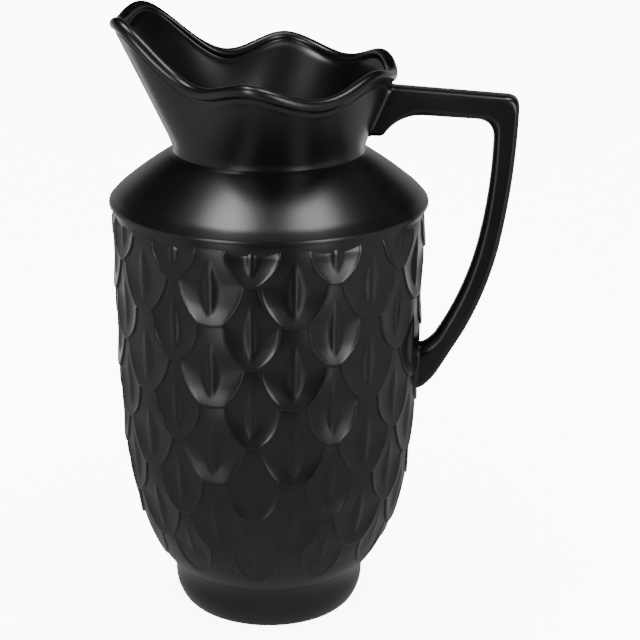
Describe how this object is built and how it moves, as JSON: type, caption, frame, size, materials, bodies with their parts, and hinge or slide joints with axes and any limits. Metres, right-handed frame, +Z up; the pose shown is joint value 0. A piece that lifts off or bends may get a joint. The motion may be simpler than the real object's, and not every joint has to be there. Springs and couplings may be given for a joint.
{
  "type": "oinochoe jug",
  "caption": "Footed stoneware pitcher with a scale-relief body, sloping shoulder, ruffled spouted mouth and an angular strap handle.",
  "frame": {"origin": "on the jug's axis, in the plane of the foot's standing edge", "axes": "+Z up along the jug's axis, +X towards the handle, -X towards the spout, -Y towards the viewer of the picture"},
  "size_m": [0.1957, 0.1546, 0.3],
  "materials": {
    "glaze": "glossy black glaze over the whole piece"
  },
  "bodies": {
    "root": {"foot_ring": "glaze", "base_floor": "glaze", "belly_wall": "glaze", "shoulder": "glaze", "neck_and_mouth": "glaze", "rim_roll": "glaze", "handle": "glaze", "upper_root": "glaze", "lower_root": "glaze"}
  },
  "joints": []
}
